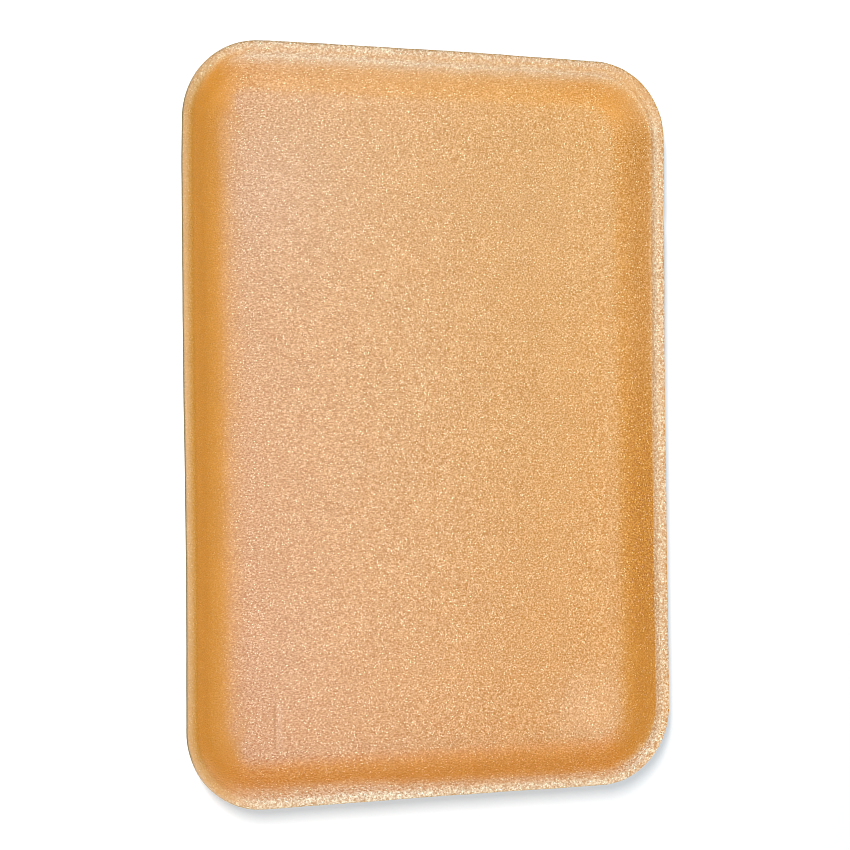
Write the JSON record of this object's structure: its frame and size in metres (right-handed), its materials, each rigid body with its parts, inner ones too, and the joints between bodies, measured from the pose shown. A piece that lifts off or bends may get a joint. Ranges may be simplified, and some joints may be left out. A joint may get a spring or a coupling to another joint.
{
  "type": "foam tray",
  "caption": "Shallow rectangular foam food tray in golden foam, with a flat floor, rounded corners, sloping walls and a rounded lip, open on top.",
  "frame": {"origin": "centre of the flat base, on the surface that the tray rests on", "axes": "+Z up out of the open side, +Y along the long sides, +X across; the picture's up is +Y and its right is +X"},
  "size_m": [0.146, 0.2096, 0.0127],
  "materials": {
    "foam": "satin"
  },
  "bodies": {
    "root": {"tray": "foam"}
  },
  "joints": []
}
